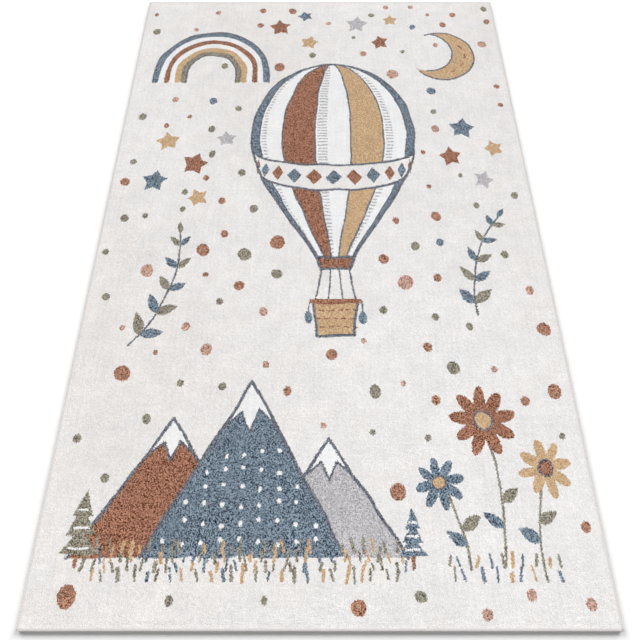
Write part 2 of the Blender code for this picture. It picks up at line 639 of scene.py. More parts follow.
MEADOW = -0.775  # the mountains' foot
# Peaks from back to front: x, y, half the width at the foot, yarn, and the snow's share of the height
PEAKS = (
    (0.020, -0.545, 0.165, "silver", 0.34),
    (-0.335, -0.500, 0.190, "rust", 0.30),
    (-0.160, -0.415, 0.215, "slate", 0.30),
)
SNOW_DIPS = (1.0, 0.62, 1.08, 0.60, 0.95)  # depths of the snow's ragged edge from left to right
FLECK_ROWS = 6
FLECK_ROW_PITCH = 0.034
FLECK_PITCH = 0.040
FLECK_RADIUS = 4.6 * MM
FLECK_FOOT = 0.030  # from the mountain's foot to the first row
FLECK_SHIFT = 0.010  # of a row to one side
FLECK_WAVER = 0.006
BLADE_LENGTH = (0.012, 0.026)
BLADE_LEAN = 0.006
BLADE_WIDTH = (4.5, 7.5)  # mm
BLADE_PITCH = (0.014, 0.034)
FIRST_BLADE = 0.02  # how far in from a row's left end it may stand
GRASS_TAPER = 0.10  # shortens the rows away from the middle ones


def mountain(chart, x, y, half, yarn, snow):
    """A peak with a ragged cap of snow."""
    slopes = [(x - half, MEADOW), (x, y), (x + half, MEADOW)]
    chart.paint(polygon(slopes), yarn)
    cap = [(x, y)]
    for k, dip in enumerate(SNOW_DIPS):
        cap.append((x + (k / 2 - 1) * half * snow * dip, y - snow * (y - MEADOW) * dip))
    chart.paint(polygon(cap), "white")
    chart.draw(cap[1:], LINE)
    chart.draw(slopes)


def snow_flecks(chart, peak_x, peak_y, half):
    """Rows of small white dots over a mountain's lower slopes."""
    for row in range(FLECK_ROWS):
        y = MEADOW + FLECK_FOOT + FLECK_ROW_PITCH * row
        reach = half * (peak_y - y) / (peak_y - MEADOW) - FLECK_PITCH / 2
        count = int(2 * reach / FLECK_PITCH)
        for k in range(count + 1):
            x = peak_x + (k - count / 2) * FLECK_PITCH + (FLECK_SHIFT if row % 2 else -FLECK_SHIFT)
            if abs(x - peak_x) < reach:
                waver = FLECK_WAVER * math.sin(5 * k + row)
                chart.paint(disc(x, y + waver, FLECK_RADIUS), "white")


def grass(chart, x0, x1, y0, y1, rows, yarns):
    """Short strokes in staggered rows, fewer towards the ends."""
    rng = np.random.default_rng(PATTERN_SEED)
    for row in range(rows):
        y = y0 + (y1 - y0) * row / (rows - 1)
        inset = (x1 - x0) * GRASS_TAPER * abs(row - (rows - 1) / 2) / rows
        x = x0 + inset + rng.uniform(0, FIRST_BLADE)
        while x < x1 - inset:
            length = rng.uniform(*BLADE_LENGTH)
            lean = rng.uniform(-BLADE_LEAN, BLADE_LEAN)
            yarn = yarns[rng.integers(len(yarns))]
            chart.draw([(x, y), (x + lean, y + length)], rng.uniform(*BLADE_WIDTH) * MM, yarn)
            x += rng.uniform(*BLADE_PITCH)


def mountain_range(chart):
    for peak in PEAKS:
        mountain(chart, *peak)
    snow_flecks(chart, *PEAKS[-1][:3])
    grass(chart, -0.510, 0.190, -0.815, -0.765, 4, ("sage", "sage", "mustard", "slate"))


RAINBOW_BANDS = ("slate", "white", "rust", "white", "mustard", "sage")
BAND_LEG = 0.030
RAINBOW_LEG = 0.038


def arch(x0, y0, radius, leg):
    """The line of a half circle on two straight legs."""
    return [(x0 + radius, y0 - leg), *arc(x0, y0, radius, 0, 180), (x0 - radius, y0 - leg)]


def rainbow(chart, x0, y0, radius, band):
    for k, yarn in enumerate(RAINBOW_BANDS):
        chart.draw(arch(x0, y0, radius - k * band - band / 2, BAND_LEG), band, yarn)
    for reach in (radius, radius - len(RAINBOW_BANDS) * band):
        chart.draw(arch(x0, y0, reach, RAINBOW_LEG), LINE)


# The moon's hollow, its middle and radius as shares of the moon's radius
MOON_BITE = (-0.46, 0.16, 0.80)
# The degrees that its lines run over, and where its strokes start and how far they run
MOON_OUTER = (-138, 118)
MOON_INNER = (-92, 82)
MOON_STROKES = (-70, -38, -8, 24)
MOON_STROKE = 12
MOON_STROKE_PLACE = 0.72  # of its radius


def moon(chart, x0, y0, radius):
    """A crescent that opens to the left, with a few short strokes on it."""
    right, up, size = MOON_BITE
    bite = (x0 + radius * right, y0 + radius * up, radius * size)
    hollow = disc(*bite)
    full = disc(x0, y0, radius)
    chart.paint(full._replace(holds=lambda x, y: full.holds(x, y) & ~hollow.holds(x, y)), "mustard")
    chart.draw(arc(x0, y0, radius, *MOON_OUTER), TWIG_LINE)
    chart.draw(arc(*bite, *MOON_INNER), TWIG_LINE)
    for angle in MOON_STROKES:
        dash = arc(x0, y0, radius * MOON_STROKE_PLACE, angle, angle + MOON_STROKE, steps=3)
        chart.draw(dash, THIN_LINE, "rust")


STEM_BOW = 0.012
STEM_LEAF = (0.050, 0.024)  # length and width
# Where the leaves grow along a daisy's stem, their ways in degrees, and their yarns
STEM_LEAVES = ((5, 32, "sage"), (3, 148, "slate"))
# The rest of a daisy, as shares of its radius
PETAL_PLACE = 0.62
PETAL_HALF_LENGTH = 0.42
PETAL_HALF_WIDTH = 0.19
HEART_RADIUS = 0.27
FIRST_PETAL = 12  # degrees


def daisy(chart, bloom, radius, foot, petals, heart, petal_count):
    """A flower on a curved stem, with a leaf on either side of it."""
    stem = bow(foot, bloom, STEM_BOW if foot[0] < bloom[0] else -STEM_BOW)
    chart.draw(stem, TWIG_LINE, "sage")
    for place, way, yarn in STEM_LEAVES:
        chart.paint(leaf(*stem[place], *STEM_LEAF, way), yarn)
    for k in range(petal_count):
        angle = 360 * k / petal_count + FIRST_PETAL
        middle = on_circle(*bloom, PETAL_PLACE * radius, angle)
        chart.paint(oval(*middle, PETAL_HALF_LENGTH * radius, PETAL_HALF_WIDTH * radius, angle), petals)
    chart.paint(disc(*bloom, HEART_RADIUS * radius), heart)
    chart.draw(arc(*bloom, HEART_RADIUS * radius), FINE_LINE)


LEAF_TURN = 48  # degrees from the twig
# As shares of the lowest leaves' length
SPRIG_TAPER = 0.45  # how much shorter the others get towards the tip
LEAF_WIDTH = 0.42
TIP_LENGTH = 0.6
TIP_WIDTH = 0.26


def leaf_sprig(chart, foot, tip, rise, pairs, length, yarns):
    """A curved twig with leaves on both sides and one at its tip."""
    twig = bow(foot, tip, rise, steps=4 * pairs)
    chart.draw(twig, THIN_LINE)
    for k in range(pairs):
        place, after = twig[4 * k + 2 : 4 * k + 4]
        size = length * (1 - SPRIG_TAPER * k / pairs)
        for side, turn in enumerate((LEAF_TURN, -LEAF_TURN)):
            way = heading(place, after) + turn
            chart.paint(leaf(*place, size, LEAF_WIDTH * size, way), yarns[(k + side) % 2])
    tip_leaf = leaf(*twig[-1], TIP_LENGTH * length, TIP_WIDTH * length, heading(*twig[-2:]))
    chart.paint(tip_leaf, yarns[0])


TRUNK_WIDTH = 8.0 * MM
# As shares of a pine's height: its trunk, its tiers, and where each starts and half its width
TRUNK_HEIGHT = 0.2
TIER_HEIGHT = 0.38
TIERS = ((0.16, 0.28), (0.40, 0.22), (0.64, 0.16))
FROST_LIFT = 0.012  # of the white stroke above a tier's foot


def pine(chart, x0, foot, height, yarn):
    """A small tree of three tiers."""
    chart.draw([(x0, foot), (x0, foot + TRUNK_HEIGHT * height)], TRUNK_WIDTH, "rust")
    for start, half_share in TIERS:
        low = foot + height * start
        half = height * half_share
        tier = [(x0 - half, low), (x0 + half, low), (x0, low + TIER_HEIGHT * height)]
        chart.paint(polygon(tier), yarn)
        y = low + FROST_LIFT
        chart.draw([(x0 - half / 2, y), (x0 + half / 2, y)], FINE_LINE, "white")


# Foot, tip, bow's rise, pairs of leaves, their length, and their two yarns
SPRIGS = (
    ((-0.470, -0.330), (-0.380, -0.020), -0.035, 5, 0.062, ("sage", "slate")),
    ((0.400, -0.250), (0.490, 0.030), 0.030, 5, 0.058, ("slate", "sage")),
)
# Bloom, radius, the stem's foot, yarns of petals and heart, and the number of petals
DAISIES = (
    ((0.375, -0.505), 0.074, (0.385, -0.790), "rust", "mustard", 9),
    ((0.500, -0.605), 0.058, (0.462, -0.795), "mustard", "rust", 8),
    ((0.262, -0.635), 0.052, (0.312, -0.795), "slate", "mustard", 8),
)
# X, y, radius, turn in degrees, and yarn
STARS = (
    (-0.135, 0.770, 0.038, 8, "rust"),
    (-0.035, 0.700, 0.032, -14, "mustard"),
    (-0.050, 0.825, 0.028, 20, "slate"),
    (0.125, 0.785, 0.040, -6, "silver"),
    (0.200, 0.700, 0.032, 12, "rust"),
    (0.240, 0.805, 0.028, 0, "mustard"),
    (0.430, 0.340, 0.040, -10, "slate"),
    (0.515, 0.265, 0.030, 18, "mustard"),
    (0.385, 0.235, 0.036, 6, "rust"),
    (0.470, 0.155, 0.032, -20, "silver"),
    (-0.455, 0.290, 0.036, 10, "mustard"),
    (-0.365, 0.210, 0.040, -12, "rust"),
    (-0.280, 0.300, 0.030, 4, "silver"),
    (-0.475, 0.150, 0.038, -4, "slate"),
    (-0.345, 0.095, 0.030, 22, "mustard"),
)

DOTS = 115
# Radii in mm and yarns, with their shares of the dots
DOT_SIZES = {7.0: 0.14, 9.0: 0.22, 11.0: 0.26, 13.5: 0.20, 16.5: 0.12, 19.5: 0.06}
DOT_YARNS = {"russet": 0.33, "sage": 0.42, "clay": 0.22, "slate": 0.03}
DOT_CHOICES = 5  # places found for each dot, of which the furthest from the other dots is taken
DOT_TRIES = 200  # for each of those places
DOT_ROOM = 14.0 * MM  # between a dot and the rest of the pattern
DOT_INSET = 0.010  # between a dot and the edging
DOT_STRETCH = (0.98, 1.12)  # a dot's length as a share of its width


def free_place(chart, radius, rng):
    """A random place with room for a dot, or the last one tried."""
    reach = PILE_HALVES - radius - DOT_INSET
    for _ in range(DOT_TRIES):
        x, y = rng.uniform(-reach, reach)
        if chart.free(x, y, radius + DOT_ROOM):
            break
    return x, y


def scattered_dots(chart):
    """Loose dots of many sizes, spread evenly wherever the pattern leaves room."""
    rng = np.random.default_rng(PATTERN_SEED)
    placed = [(0.0, 0.0)]
    for _ in range(DOTS):
        radius = rng.choice(list(DOT_SIZES), p=list(DOT_SIZES.values())) * MM
        places = [free_place(chart, radius, rng) for _ in range(DOT_CHOICES)]
        x, y = max(places, key=lambda place: min(math.dist(place, other) for other in placed))
        yarn = str(rng.choice(list(DOT_YARNS), p=list(DOT_YARNS.values())))
        chart.paint(oval(x, y, radius, radius * rng.uniform(*DOT_STRETCH)), yarn)
        placed.append((x, y))


def nursery_pattern(chart):
    """A generic sky and meadow, drawn from back to front."""
    hot_air_balloon(chart)
    mountain_range(chart)
    rainbow(chart, -0.350, 0.560, 0.185, 0.0175)
    moon(chart, 0.400, 0.640, 0.105)
    for sprig in SPRIGS:
        leaf_sprig(chart, *sprig)
    for flower in DAISIES:
        daisy(chart, *flower)
    grass(chart, 0.255, 0.525, -0.815, -0.790, 2, ("sage", "slate", "sage", "mustard"))
    pine(chart, -0.505, -0.790, 0.140, "sage")
    pine(chart, 0.195, -0.790, 0.105, "slate")
    for x, y, radius, turn, yarn in STARS:
        chart.paint(star(x, y, radius, turn), yarn)
    scattered_dots(chart)


# ---------------- pile

ROOT_SHADE = 0.94
YARN_ENDS = 650.0  # ends of yarn side by side in a metre
END_BEND = 1.6 * MM  # how far the ends' outlines are bent
CURL_SCALE = 1000
PILE_FIBRE_SCALE = 2400
# How far the ends, curls and fibres of one yarn differ, from all light strand to all dark
END_CONTRAST = 1.6
CURL_CONTRAST = 0.8
FIBRE_CONTRAST = 1.3
MIXING_SCALE = 9  # the strands are mixed more and less in soft patches
MIXING = (-0.1, 2.1)
PAINTED_LIE_SCALE = 26
PAINTED_LIE_SHADING = 0.085  # painted light and shade: how far soft patches of the pile are painted lighter or darker by its lie
HEATHER_SPREAD = 0.05  # how much whole tufts of one yarn differ
CURL_RELIEF = 0.5 * MM


def pile_finish():
    finish = Finish("frieze pile yarn", {"Diffuse Roughness": 0.15, "Specular IOR Level": 0.12})
    place = finish.add("TexCoord", output="Object")
    bent = finish.add("TexNoise", {"Vector": place, "Scale": YARN_ENDS}, "Color")
    bent = finish.add("VectorMath", {0: bent, 1: [END_BEND] * 3, 2: place}, operation="MULTIPLY_ADD")
    end_gap = finish.add("TexVoronoi", {"Vector": bent, "Scale": YARN_ENDS}, voronoi_dimensions="2D")
    end_mix = finish.add("SeparateColor", {"Color": end_gap.part("Color")})
    curl = finish.noise(place, CURL_SCALE)
    fibre = finish.noise(place, PILE_FIBRE_SCALE)
    drift = finish.noise(place, PAINTED_LIE_SCALE)
    mixing = finish.noise(place, MIXING_SCALE).between(*MIXING)
    mixed = END_CONTRAST * (end_mix - 0.5) + CURL_CONTRAST * (curl - 0.5) + FIBRE_CONTRAST * (fibre - 0.5)
    share = finish.clamp(finish.stored("heather") + mixed * mixing)
    yarn = finish.blend(share, *(finish.stored(f"{end}_strand", "Color") for end in STRANDS))
    # Painted shade darkens the tufts' roots, and painted light and shade lightens or darkens soft patches
    # by the pile's lie
    light = finish.stored("height").between(ROOT_SHADE, 1.0) * drift.between(1 + PAINTED_LIE_SHADING, 1 - PAINTED_LIE_SHADING)
    # Painted shade: the wool is darker in the gaps between the yarn ends
    light = light * fibre.between(0.97, 1.07) * end_gap.between(1.03, 0.93)
    finish.shade("Base Color", finish.tint(yarn, light))
    finish.shade("Roughness", fibre.between(0.88, 1.0))
    finish.relief(0.3 * curl + 0.2 * fibre - 0.8 * end_gap, CURL_RELIEF)
    return finish


def row_of_valleys(row, columns):
    """Places along one row of the lattice. Odd rows lie half a step over and end with half steps."""
    steps = np.arange(columns + 1, dtype=float)
    if row % 2:
        steps = np.concatenate([[0.0], steps[:-1] + 0.5, [columns]])
    return steps / columns * 2 - 1


def valley_lattice(columns, rows):
    """Points between the tufts as (x, y) from -1 to 1, and the triangles they bound."""
    across = [row_of_valleys(row, columns) for row in range(rows + 1)]
    up = [np.full(len(xs), row / rows * 2 - 1) for row, xs in enumerate(across)]
    places = np.stack([np.concatenate(across), np.concatenate(up)], 1)
    start = np.concatenate([[0], np.cumsum([len(xs) for xs in across])])
    even = np.arange(columns)
    odd = np.arange(columns + 1)
    cells = []
    for row in range(rows):
        turn = -1 if row % 2 else 1
        short, long = start[row : row + 2][::turn]
        on_short = np.stack([short + even, short + even + 1, long + even + 1], 1)
        on_long = np.stack([long + odd + 1, long + odd, short + odd], 1)
        cells += [on_short[:, ::turn], on_long[:, ::turn]]
    return places, np.concatenate(cells)


def tuft_points(rng):
    """The pile's points, valleys before tips, the corners of every tuft, and the first tip's number."""
    columns = round(2 * PILE_HALF_WIDTH / TUFT_PITCH)
    rows = round(2 * PILE_HALF_LENGTH / (TUFT_PITCH * math.sqrt(3) / 2))
    places, cells = valley_lattice(columns, rows)
    rim = (np.abs(places) == 1).any(1)
    places = places * PILE_HALVES
    places[~rim] += rng.uniform(-VALLEY_JITTER, VALLEY_JITTER, places.shape)[~rim]
    tips = places[cells].mean(1) + rng.uniform(-TIP_JITTER, TIP_JITTER, (len(cells), 2))
    x, y = tips.T.copy()
    tips += TUFT_LEAN * np.stack([swell(x, y, LEAN_SIZE, seed) for seed in LEAN_SEEDS], 1)
    tips += np.sign(tips) * RIM_LEAN * np.clip(1 - (PILE_HALVES - np.abs(tips)) / RIM_WIDTH, 0, 1)

    spots = np.concatenate([places, tips])
    inset = (PILE_HALVES - np.abs(spots)).min(1)
    depth = VALLEY_DEPTH + rng.uniform(-VALLEY_SPREAD, VALLEY_SPREAD, len(places))
    depth = depth * (1 - RIM_PACKING * np.clip(1 - inset[: len(places)] / RIM_WIDTH, 0, 1))
    depth = np.concatenate([depth, rng.uniform(0, TIP_SPREAD, len(tips))])
    shoulder = SHOULDER_DROP * np.clip(1 - inset / SHOULDER_WIDTH, 0, 1) ** SHOULDER_CURVE
    return np.column_stack([spots, PILE_TOP - depth - shoulder]), cells, len(places)


def tuft_triangles(cells, first_tip):
    """Three triangles for each tuft, from the sides of its cell up to its tip."""
    tips = np.repeat(first_tip + np.arange(len(cells)), 3).reshape(-1, 3)
    return np.stack([cells, np.roll(cells, -1, axis=1), tips], -1).reshape(-1, 3)


def point_normals(points, triangles):
    a, b, c = (points[triangles[:, k]] for k in range(3))
    normal = np.cross(b - a, c - a)
    total = np.zeros(points.shape)
    for k in range(3):
        for axis in range(3):
            total[:, axis] += np.bincount(triangles[:, k], normal[:, axis], len(points))
    return total / np.linalg.norm(total, axis=1, keepdims=True)


# The wool's lightness drifts in streaks along and across the rug and in patches, its warmth in patches.
# Each has its strength, size and random seed, and its shares of x and y: a small share makes long streaks
LIGHT_DRIFTS = ((0.013, 0.009, 6, 1, 0.05), (0.011, 0.010, 7, 0.05, 1), (0.009, 0.24, 8, 1, 1))
WARM_DRIFT = (0.004, 0.10, 9, 1, 1)
FINE_WAVES = 14
# One broad swell of painted light runs over the whole rug, painting it lighter and cooler to one side
BROAD_SIZE = 1.2
BROAD_SEED = 325
BROAD_PAINTED_LIGHT = 0.021
BROAD_PAINTED_COOLING = 0.005
# Painted shade and painted light on the pile near the edging, darker right at it and lighter a little
# further in: how far in from it, and the share added there
RIM_INSETS = (0.0, 12.0 * MM, 45.0 * MM)
RIM_PAINTED_LIGHT = (-0.02, 0.014, 0.0)


def drift_at(x, y, strength, size, seed, share_x, share_y):
    return strength * swell(x * share_x, y * share_y, size, seed, FINE_WAVES)


def weave_tone(x, y):
    """Red, green and blue shares by which the wool's tone drifts, with painted light over one side of the
    rug and painted light and shade near the edging.
    """
    broad = swell(x, y, BROAD_SIZE, BROAD_SEED)
    warmth = drift_at(x, y, *WARM_DRIFT) - BROAD_PAINTED_COOLING * broad
    inset = np.minimum(PILE_HALF_WIDTH - np.abs(x), PILE_HALF_LENGTH - np.abs(y))
    light = 1 + sum(drift_at(x, y, *drift) for drift in LIGHT_DRIFTS)
    # Painted light over one side of the rug; near the edging, painted shade right at it and painted light a
    # little further in
    light += BROAD_PAINTED_LIGHT * broad + np.interp(inset, RIM_INSETS, RIM_PAINTED_LIGHT)
    return light[:, None] * (1 + warmth[:, None] * (1, 0, -1))


def strand(yarn_name, end):
    """Linear light of a yarn's light or dark strand."""
    return linear(*getattr(YARNS[yarn_name], end))


def strand_colours(chart, x, y):
    """Colours of the light and the dark strand of every side of a tuft."""
    tone = weave_tone(x, y)
    tables = [np.array([strand(name, end) for name in YARN_NAMES]) for end in STRANDS]
    return [np.column_stack([table[chart.yarn] * tone, np.ones(len(x))]) for table in tables]


def outer_skirt(triangles, points):
    """The pile's outer sides: their triangles, the rim points they start from, and the points they add."""
    edges = np.stack([triangles, np.roll(triangles, -1, axis=1)], -1).reshape(-1, 2)
    on_rim = (np.abs(np.abs(points[:, :2]) - PILE_HALVES) < ON_RIM).any(1)
    _, place, uses = np.unique(np.sort(edges), axis=0, return_index=True, return_counts=True)
    edges = edges[place[uses == 1]]
    edges = edges[on_rim[edges].all(1)]
    upper, inverse = np.unique(edges, return_inverse=True)
    foot = PILE_HALVES - PILE_OVERLAP - FOOT_INSET
    lower = points[upper].copy()
    lower[:, :2] = np.clip(lower[:, :2], -foot, foot)
    lower[:, 2] = GROUND_TOP
    low = len(points) + inverse.reshape(-1, 2)
    a, b = edges[:, 0], edges[:, 1]
    sides = np.concatenate([np.stack([b, a, low[:, 0]], 1), np.stack([b, low[:, 0], low[:, 1]], 1)])
    return sides, upper, lower


def flat_places(points, pushed, low, high):
    """Places in a unit square for a tile of pile from above, with some points pushed into its margin."""
    spot = points[:, :2].copy()
    outward = np.sign(spot[pushed]) * (np.abs(spot[pushed]) > PILE_HALVES - MM)
    spot[pushed] += outward * SKIRT_MARGIN * SKIRT_REACH
    return (spot - low + SKIRT_MARGIN) / (high - low + 2 * SKIRT_MARGIN)


# The pile: points with normals and heights, and triangles with strands and heather
Pile = namedtuple("Pile", "points normals heights triangles strands heather")


def store_yarn(mesh, pile, chosen, added):
    """Gives a tile's faces their strands. The added faces, which come last, are plain cream."""
    for end, colours in zip(STRANDS, pile.strands):
        cream = np.tile((*strand("cream", end), 1.0), (added, 1))
        store_colour(mesh, f"{end}_strand", np.concatenate([colours[chosen], cream]))
    store_number(mesh, "heather", "FACE", np.concatenate([pile.heather[chosen], np.full(added, 0.5)]))


def pile_tile(name, pile, chosen, finish):
    """One tile of the pile, from the faces chosen."""
    used, inverse = np.unique(pile.triangles[chosen], return_inverse=True)
    faces = inverse.reshape(-1, 3)
    spots = pile.points[used]
    sides, upper, lower = outer_skirt(faces, spots)
    points = np.concatenate([spots, lower])
    normals = np.concatenate([pile.normals[used], pile.normals[used][upper]])
    tile = new_piece(name, points, np.concatenate([faces, sides]), finish)
    mesh = tile.data
    mesh.normals_split_custom_set_from_vertices(normals.tolist())
    store_yarn(mesh, pile, chosen, len(sides))
    store_number(mesh, "height", "POINT", np.concatenate([pile.heights[used], np.zeros(len(lower))]))
    pushed = np.arange(len(spots), len(points))
    places = flat_places(points, pushed, spots[:, :2].min(0), spots[:, :2].max(0))
    lay_map(mesh, "OFBake", places[corner_points(mesh)])
    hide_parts("woven_carpet")
    return tile


def patterned_pile():
    """The whole pile, with the yarn of every side of a tuft chosen from the pattern."""
    points, cells, first_tip = tuft_points(np.random.default_rng(TUFT_SEED))
    triangles = tuft_triangles(cells, first_tip)
    x, y, _ = points[triangles].mean(1).T
    chart = Chart(x, y)
    nursery_pattern(chart)
    heights = np.concatenate([np.zeros(first_tip), np.ones(len(cells))])
    heather = 0.5 + HEATHER_SPREAD * np.random.default_rng(YARN_SEED).standard_normal(len(cells))
    strands = strand_colours(chart, x, y)
    normals = point_normals(points, triangles)
    return Pile(points, normals, heights, triangles, strands, np.repeat(heather, 3))


def lay_pile(finish):
    """The pile in tiles, with every tuft whole in one of them."""
    pile = patterned_pile()
    x, y, _ = pile.points[pile.triangles[:, 2]].T
    column = (x > 0).astype(int)
    row = np.clip(((y / PILE_HALF_LENGTH + 1) / 2 * len(PILE_ROWS)).astype(int), 0, len(PILE_ROWS) - 1)
    tiles = []
    for r, row_name in enumerate(PILE_ROWS):
        for c, column_name in enumerate(PILE_COLUMNS):
            name = f"pile_{row_name}_{column_name}"
            tiles.append(pile_tile(name, pile, (row == r) & (column == c), finish))
    return tiles


# ---------------- woven ground


JUTE_DARK = (*linear(196, 176, 146), 1.0)
JUTE_LIGHT = (*linear(224, 208, 182), 1.0)
JUTE_FIBRE_SCALE = 700
JUTE_PATCH_SCALE = 14
WEAVE_RELIEF = 0.4 * MM
GROUND_STRIPS = 4
RIB_CUTS = 4  # cuts along each rib of weft


def ground_finish():
    finish = Finish("jute weft ground", {"Specular IOR Level": 0.2})
    place = finish.add("TexCoord", output="Object")
    x = finish.add("SeparateXYZ", {"Vector": place}, "X")
    crossing = 0.5 * finish.wave(x, WARP_PITCH) + 0.5 * finish.wave(x.part("Y"), WEFT_PITCH)
    fibre = finish.noise(place, JUTE_FIBRE_SCALE, detail=3)
    patch = finish.noise(place, JUTE_PATCH_SCALE)
    jute = finish.blend(fibre, JUTE_DARK, JUTE_LIGHT)
    # Painted shade: the weave is darker in the hollows between its threads; the patches are the jute's own
    # tone
    finish.shade("Base Color", finish.tint(jute, crossing.between(0.80, 1.0) * patch.between(0.92, 1.08)))
    finish.shade("Roughness", fibre.between(0.86, 0.98))
    finish.relief(0.7 * crossing + 0.3 * fibre, WEAVE_RELIEF)
    return finish


def level_points(x, y, z):
    """Points over a grid of places, each row at its height."""
    across, along = np.meshgrid(x, y)
    return np.stack([across, along, np.broadcast_to(z[:, None], across.shape)], -1).reshape(-1, 3)


def woven_ground(finish):
    """The ribbed cloth under the pile: a thin slab whose underside shows its weft."""
    cuts = RIB_CUTS * round(2 * GROUND_HALF_LENGTH / WEFT_PITCH) + 1
    x = np.linspace(-GROUND_HALF_WIDTH, GROUND_HALF_WIDTH, GROUND_STRIPS + 1)
    y = np.linspace(-GROUND_HALF_LENGTH, GROUND_HALF_LENGTH, cuts)
    rib = WEFT_RELIEF * (0.5 - 0.5 * np.cos(2 * np.pi * np.arange(cuts) / RIB_CUTS))
    points = np.concatenate([level_points(x, y, rib), level_points(x, y, np.full(cuts, GROUND_TOP))])
    number = np.arange(cuts * len(x)).reshape(cuts, len(x))
    corners = [number[:-1, :-1], number[:-1, 1:], number[1:, 1:], number[1:, :-1]]
    quads = np.stack(corners, -1).reshape(-1, 4)
    rim = np.concatenate([number[0, :-1], number[:-1, -1], number[-1, :0:-1], number[:0:-1, 0]])
    after = np.roll(rim, -1)
    walls = np.stack([rim, after, after + number.size, rim + number.size], 1)
    faces = np.concatenate([quads[:, ::-1], quads + number.size, walls])
    triangles = np.concatenate([faces[:, [0, 1, 2]], faces[:, [0, 2, 3]]])
    ground = new_piece("woven_ground", points, triangles, finish)
    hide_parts("woven_carpet")
    return ground


# ---------------- overcast edging

THREADS = 7.0  # threads side by side in a turn of yarn
TWIST_PITCH = 0.8  # of the threads' twist, in turns
EDGING_FIBRE_SCALE = 1500
EDGING_PATCH_SCALE = 60
CREST_SHADE = 0.86  # between two turns of yarn
FOOT_SHADE = 0.75  # painted shade: the yarn's foot is darker, where it lies on the floor
FOOT_HEIGHT = 5.5 * MM
EDGING_DARK = (*linear(200, 194, 191), 1.0)
EDGING_LIGHT = (*linear(231, 228, 226), 1.0)
THREAD_RELIEF = 0.45 * MM


def edging_finish():
    finish = Finish("overcast edging yarn", {"Specular IOR Level": 0.2})
    place = finish.add("TexCoord", output="Object")
    along = finish.add("SeparateXYZ", {"Vector": finish.add("UVMap", uv_map="yarn_run")})
    around_it = along.part("Y")
    stretched = finish.add("CombineXYZ", {"X": along * THREADS, "Y": around_it})
    thread = finish.noise(stretched, 1.0)
    twist = finish.wave(along + around_it * 0.5, TWIST_PITCH)
    fibre = finish.noise(place, EDGING_FIBRE_SCALE)
    patch = finish.noise(place, EDGING_PATCH_SCALE)
    strand_mix = finish.clamp(thread.between(-0.7, 1.7))
    height = finish.add("SeparateXYZ", {"Vector": place}, "Z") * (1 / FOOT_HEIGHT)
    light = finish.stored("crest").between(CREST_SHADE, 1.0)
    # Painted shade: the yarn is darker towards its foot on the floor
    light = light * finish.clamp(height).between(FOOT_SHADE, 1.0)
    # Painted shade in the grooves of the threads' twist; the patches are the yarn's own tone
    light = light * twist.between(0.96, 1.0) * patch.between(0.96, 1.04)
    finish.shade("Base Color", finish.tint(finish.blend(strand_mix, EDGING_DARK, EDGING_LIGHT), light))
    finish.shade("Roughness", fibre.between(0.85, 0.97))
    finish.relief(0.55 * thread + 0.2 * twist + 0.25 * fibre, THREAD_RELIEF)
    return finish


def edging_section():
    """The yarn's outer line seen along the edge, from its inner foot on: u outwards and z up."""
    angles = np.radians(SECTION_ANGLES)
    across, up = np.cos(angles), np.sin(angles)
    power = 2 / np.where(across > 0, OUTER_ROUNDNESS, INNER_ROUNDNESS)
    u = EDGING_WIDTH / 2 * (1 + np.sign(across) * np.abs(across) ** power)
    z = EDGING_HEIGHT / 2 * (1 + np.sign(up) * np.abs(up) ** power)
    return u, z


def edge_cuts(straight, rng):
    """Cuts along one edge from corner to corner: their way along it, and their turn in radians.

    Every turn of yarn has WRAP_STEPS cuts, and the first of them lies between it and the last turn.
    """
    count = round(straight / WRAP_PITCH)
    between = np.linspace(-straight / 2, straight / 2, count + 1)
    between[1:-1] += rng.uniform(-PITCH_JITTER, PITCH_JITTER, count - 1)
    along = np.interp(np.arange(count * WRAP_STEPS + 1) / WRAP_STEPS, np.arange(count + 1), between)
    corner = np.radians(np.linspace(-45, 0, CORNER_TURNS * WRAP_STEPS // 2 + 1))[:-1]
    way = np.concatenate([np.full(len(corner), along[0]), along, np.full(len(corner), along[-1])])
    turn = np.concatenate([corner, np.zeros(len(along)), -corner[::-1]])
    return way, turn


def whipped_surface(way, turn, rng):
    """How far out, along and up each point of the yarn is from the edging's inner line, and its crest."""
    u, z = edging_section()
    cut = np.arange(len(way))
    crest = np.abs(np.sin(np.pi * cut / WRAP_STEPS)) ** CREST_ROUNDNESS
    thickness = 1 - WRAP_UNEVEN * rng.uniform(0, 1, len(way) // WRAP_STEPS + 1)[cut // WRAP_STEPS]
    sunk = WRAP_RELIEF * (1 - crest * thickness)[:, None]
    share = z / EDGING_HEIGHT
    u = u - sunk * u / EDGING_WIDTH
    inner = INNER_SHARE + (1 - INNER_SHARE) * u / EDGING_WIDTH
    up = z - sunk * inner * share + FOOT_SHARE * sunk * (1 - share)
    power = CORNER_SQUARENESS
    corner = (np.abs(np.cos(turn)) ** power + np.abs(np.sin(turn)) ** power) ** (-1 / power)
    reach = u * corner[:, None]
    out = reach * np.cos(turn)[:, None]
    slant = WRAP_SLANT * WRAP_PITCH * share * np.cos(2 * turn)[:, None]
    side = way[:, None] + reach * np.sin(turn)[:, None] + slant
    return out, side, up, np.broadcast_to(crest[:, None], up.shape)


def tube_faces(cuts, steps):
    """Triangles of a closed tube, whose two end points come after all the others."""
    number = np.arange(cuts * steps).reshape(cuts, steps)
    after = np.roll(number, -1, axis=1)
    quads = np.stack([number[:-1], after[:-1], after[1:], number[1:]], -1).reshape(-1, 4)
    first_end = np.stack([number[0], after[0], np.full(steps, cuts * steps)], 1)
    last_end = np.stack([after[-1], number[-1], np.full(steps, cuts * steps + 1)], 1)
    return np.concatenate([quads[:, [0, 2, 1]], quads[:, [0, 3, 2]], first_end, last_end])


